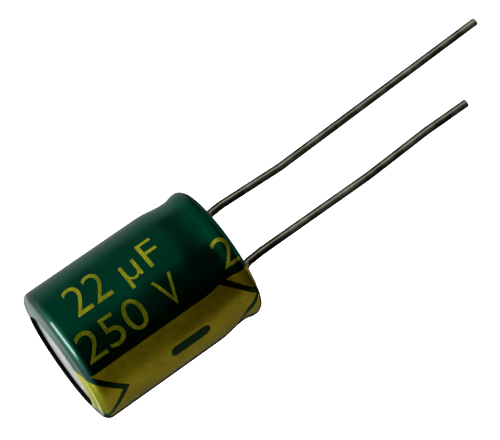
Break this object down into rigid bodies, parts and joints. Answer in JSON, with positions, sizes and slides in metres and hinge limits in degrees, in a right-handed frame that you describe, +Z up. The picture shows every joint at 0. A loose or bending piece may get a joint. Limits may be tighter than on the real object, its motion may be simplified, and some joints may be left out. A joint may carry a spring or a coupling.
{
  "type": "electrolytic capacitor",
  "caption": "Radial-lead aluminium electrolytic capacitor in a green shrink sleeve with a yellow polarity stripe and two bent wire leads.",
  "frame": {"origin": "on the can's axis in the board's plane, which is the rubber bung's outer face, midway between the two leads", "axes": "+Z up the can to its closed end, the leads hang down -Z in the XZ plane, +X towards the anode lead and -X towards the cathode lead"},
  "size_m": [0.0104, 0.0104, 0.0393],
  "materials": {
    "sleeve": "glossy dark green shrink film",
    "stripe_ink": "yellow ink under the same gloss",
    "can": "bright drawn aluminium",
    "bung": "matt black butyl rubber",
    "terminal": "etched aluminium",
    "lead": "tinned steel wire, dull grey",
    "winding": "electrolyte-soaked kraft paper over foil",
    "tape": "amber film tape"
  },
  "bodies": {
    "root": {"sleeve": "sleeve", "polarity_stripe": "stripe_ink", "can": "can", "bung": "bung", "anode_terminal": "terminal", "cathode_terminal": "terminal", "anode_lead": "lead", "cathode_lead": "lead", "winding": "winding", "winding_tape": "tape"}
  },
  "joints": []
}
